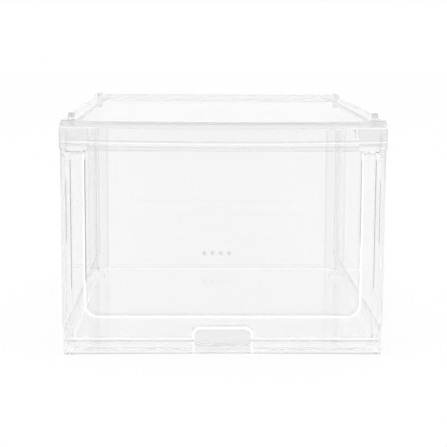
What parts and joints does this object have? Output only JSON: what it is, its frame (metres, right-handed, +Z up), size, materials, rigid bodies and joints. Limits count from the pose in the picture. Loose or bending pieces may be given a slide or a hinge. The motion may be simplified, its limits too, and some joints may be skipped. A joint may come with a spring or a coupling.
{
  "type": "storage box",
  "caption": "Clear plastic stacking storage box with a lift-off lid, a flip-up front door with a finger notch, and corner pegs that lock into the box stacked above.",
  "frame": {"origin": "centre of the box's footprint, on the surface it stands on", "axes": "+Z up, +Y from the front door to the back wall, +X to the right seen from the front"},
  "size_m": [0.25, 0.35, 0.187],
  "materials": {
    "clear_tray": "clear moulded plastic, glossy",
    "clear_wall": "clear moulded plastic, glossy",
    "clear_lid": "clear moulded plastic, glossy",
    "clear_door": "clear moulded plastic, glossy",
    "peg": "clear moulded plastic, looks grey from the side"
  },
  "bodies": {
    "case": {"base_tray": "clear_tray", "right_side_panel": "clear_wall", "left_side_panel": "clear_wall", "back_panel": "clear_wall"},
    "lid": {"lid": "clear_lid", "stacking_peg_front_left": "peg", "stacking_peg_front_right": "peg", "stacking_peg_back_left": "peg", "stacking_peg_back_right": "peg"},
    "door": {"front_door": "clear_door"}
  },
  "joints": [
    {"name": "lid_lift", "type": "slide", "parent": "case", "child": "lid", "axis": [0, 0, 1], "range_m": [0, 0.06]},
    {"name": "door_hinge", "type": "hinge", "parent": "case", "child": "door", "pos_m": [0, -0.171, 0.1548], "axis": [-1, 0, 0], "range_deg": [0, 90]}
  ]
}
